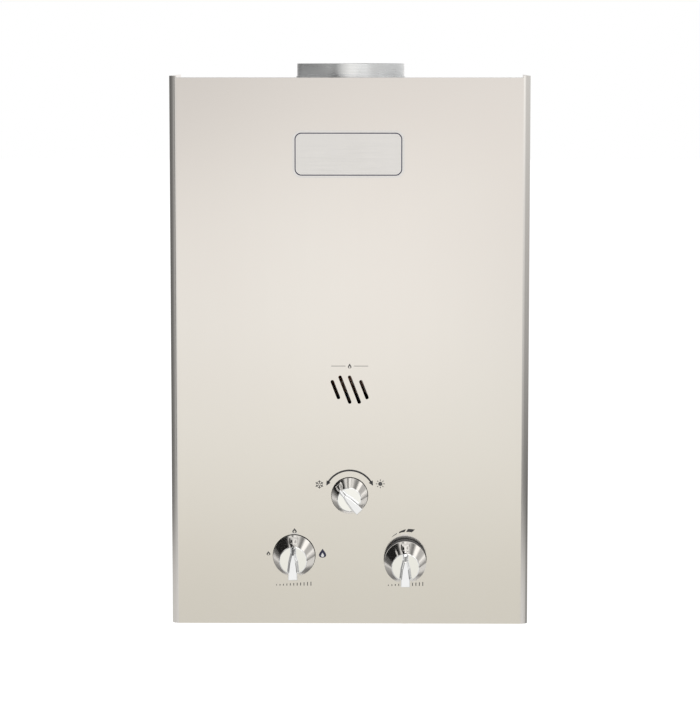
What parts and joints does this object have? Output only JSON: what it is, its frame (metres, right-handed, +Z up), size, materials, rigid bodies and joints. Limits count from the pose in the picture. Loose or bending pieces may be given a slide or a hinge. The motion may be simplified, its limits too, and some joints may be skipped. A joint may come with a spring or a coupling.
{
  "type": "gas water heater",
  "caption": "Wall-hung instantaneous gas water heater: slim stainless casing with a round flue collar on top, slanted sight slots, chromed wedge-grip knobs and threaded pipe spigots below.",
  "frame": {"origin": "centre of the back plate's rear face, on the wall, at the middle of the casing's height", "axes": "+Z up, +Y into the wall, +X to the right as seen from the front"},
  "size_m": [0.2936, 0.1727, 0.4687],
  "materials": {
    "panel_steel": "fine satin stainless sheet",
    "galvanised": "galvanised sheet",
    "collar_metal": "spun galvanised sheet",
    "knob_chrome": "bright chrome plate",
    "fastener_steel": "zinc plated",
    "copper": "bare copper",
    "brass": "bare brass",
    "cast_alloy": "die-cast",
    "burner_steel": "heat-stained stainless sheet",
    "black_plastic": "moulded",
    "white_plastic": "moulded",
    "ceramic": "glazed ceramic",
    "seal_rubber": "moulded rubber",
    "pane_glass": "clear pane",
    "cell_jacket": "plain printed jacket",
    "coil_steel": "painted can"
  },
  "bodies": {
    "casing": {"front_cover": "panel_steel", "back_plate": "galvanised", "top_plate": "galvanised", "bottom_plate": "galvanised", "draft_hood": "galvanised", "chamber_brackets": "galvanised", "microswitch_bracket": "galvanised", "flue_collar": "collar_metal", "cover_screws": "fastener_steel", "plate_rivets": "fastener_steel", "flange_screws": "fastener_steel", "diaphragm_screws": "fastener_steel", "electrode_pins": "fastener_steel", "lid_hinge_pin": "fastener_steel", "battery_contacts": "fastener_steel", "combustion_chamber": "copper", "heat_exchanger_fins": "copper", "heat_exchanger_tube": "copper", "inlet_pipe": "copper", "outlet_pipe": "copper", "union_nuts": "brass", "manifold_plug": "brass", "injectors": "brass", "water_valve_body": "brass", "diaphragm_cover": "brass", "gas_inlet_nipple": "brass", "cold_inlet_nipple": "brass", "hot_outlet_nipple": "brass", "nipple_nuts": "brass", "spindle_glands": "brass", "gas_manifold": "cast_alloy", "manifold_lugs": "cast_alloy", "gas_elbow": "cast_alloy", "gas_valve_body": "cast_alloy", "season_valve_body": "cast_alloy", "gas_link_pipe": "cast_alloy", "burner_tray": "burner_steel", "burner_blades": "burner_steel", "microswitch": "black_plastic", "ignition_box": "black_plastic", "overheat_thermostat": "black_plastic", "battery_box": "white_plastic", "ignition_electrode": "ceramic", "flame_probe": "ceramic", "diaphragm": "seal_rubber", "sight_pane": "pane_glass", "batteries": "cell_jacket", "safety_solenoid": "coil_steel"},
    "gas_control": {"gas_knob": "knob_chrome", "gas_spindle": "brass"},
    "water_control": {"water_knob": "knob_chrome", "water_spindle": "brass", "water_sleeve": "black_plastic"},
    "season_control": {"season_knob": "knob_chrome", "season_spindle": "brass"},
    "battery_lid": {"battery_lid": "white_plastic"},
    "push_rod": {"push_rod": "fastener_steel", "diaphragm_disc": "fastener_steel"},
    "microswitch_lever": {"microswitch_lever": "fastener_steel"},
    "drain_plug": {"drain_plug": "brass"}
  },
  "joints": [
    {"name": "gas_knob_turn", "type": "hinge", "parent": "casing", "child": "gas_control", "pos_m": [-0.0452, -0.125, -0.1663], "axis": [0, 1, 0], "range_deg": [-90, 90]},
    {"name": "water_knob_turn", "type": "hinge", "parent": "casing", "child": "water_control", "pos_m": [0.0452, -0.125, -0.1693], "axis": [0, 1, 0], "range_deg": [-90, 90]},
    {"name": "season_knob_turn", "type": "hinge", "parent": "casing", "child": "season_control", "pos_m": [0, -0.125, -0.1168], "axis": [0, 1, 0], "range_deg": [0, 86]},
    {"name": "battery_lid_hinge", "type": "hinge", "parent": "casing", "child": "battery_lid", "pos_m": [0.1204, -0.0266, -0.2244], "axis": [1, 0, 0], "range_deg": [0, 100]},
    {"name": "push_rod_slide", "type": "slide", "parent": "casing", "child": "push_rod", "axis": [-1, 0, 0], "range_m": [0, 0.004], "stiffness_N_per_m": 1500, "springref_m": -0.004},
    {"name": "microswitch_lever_hinge", "type": "hinge", "parent": "casing", "child": "microswitch_lever", "pos_m": [0.001, -0.072, -0.1898], "axis": [0, -1, 0], "range_deg": [0, 16.99]},
    {"name": "drain_plug_turn", "type": "hinge", "parent": "casing", "child": "drain_plug", "pos_m": [0.0452, -0.083, -0.2], "axis": [0, 0, -1], "range_deg": [0, 360]}
  ],
  "couplings": [
    {"joint": "microswitch_lever_hinge", "follows": "push_rod_slide", "rad_per_m": 74.074}
  ]
}
